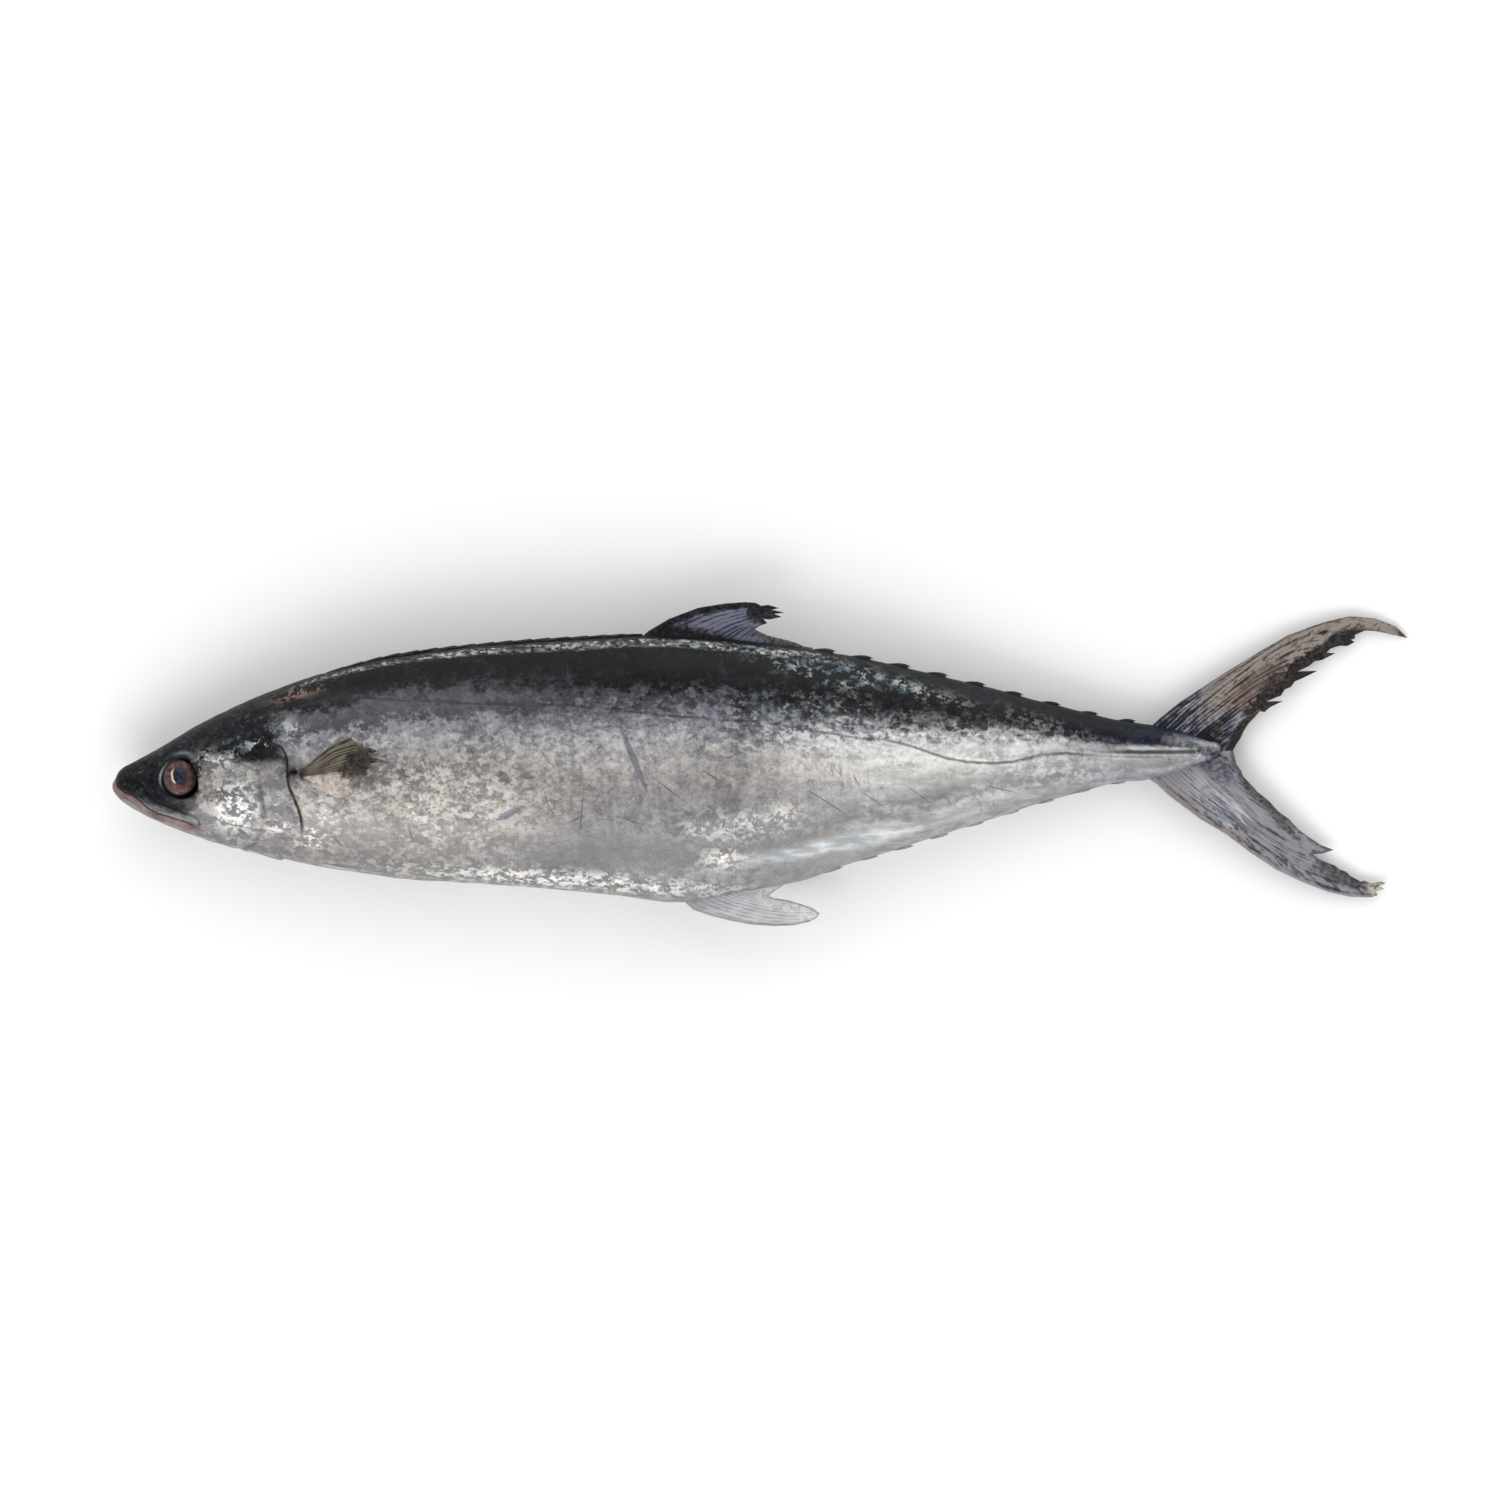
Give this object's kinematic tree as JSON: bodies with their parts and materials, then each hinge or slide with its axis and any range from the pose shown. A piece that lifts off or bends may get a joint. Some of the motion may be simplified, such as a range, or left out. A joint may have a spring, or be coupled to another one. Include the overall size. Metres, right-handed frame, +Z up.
{
  "type": "whole raw fish",
  "caption": "Whole raw seer fish laid flat on its side, with a silver flank, blue-black back, forked tail and small finlets along the tail stem.",
  "frame": {"origin": "middle of the bounding box in X and Y, on the flat surface the fish lies on", "axes": "+X from head to tail, +Y from belly to back, +Z up out of the left flank"},
  "size_m": [0.7772, 0.1938, 0.0722],
  "materials": {
    "skin": "wet raw skin, silver on the flank and blue-black on the back",
    "eye": "wet and clear, with a red-brown iris round a dark pupil",
    "dark_fin": "wet satin, slate to black, with fine rays",
    "pale_fin": "wet satin, pale lilac grey",
    "tail_fin": "wet satin, grey-brown, with dark rays",
    "pectoral_fin": "wet satin, olive brown, with dark rays and a cream lower edge"
  },
  "bodies": {
    "root": {"body": "skin", "eye_left": "eye", "eye_right": "eye", "first_dorsal_fin": "dark_fin", "second_dorsal_fin": "dark_fin", "anal_fin": "pale_fin", "tail_fin": "tail_fin", "pectoral_fin_left": "pectoral_fin", "pectoral_fin_right": "pectoral_fin", "pelvic_fin_left": "pale_fin", "pelvic_fin_right": "pale_fin", "dorsal_finlet_1": "dark_fin", "dorsal_finlet_2": "dark_fin", "dorsal_finlet_3": "dark_fin", "dorsal_finlet_4": "dark_fin", "dorsal_finlet_5": "dark_fin", "dorsal_finlet_6": "dark_fin", "dorsal_finlet_7": "dark_fin", "dorsal_finlet_8": "dark_fin", "dorsal_finlet_9": "dark_fin", "anal_finlet_1": "pale_fin", "anal_finlet_2": "pale_fin", "anal_finlet_3": "pale_fin", "anal_finlet_4": "pale_fin", "anal_finlet_5": "pale_fin", "anal_finlet_6": "pale_fin", "anal_finlet_7": "pale_fin", "anal_finlet_8": "pale_fin", "anal_finlet_9": "pale_fin"}
  },
  "joints": []
}
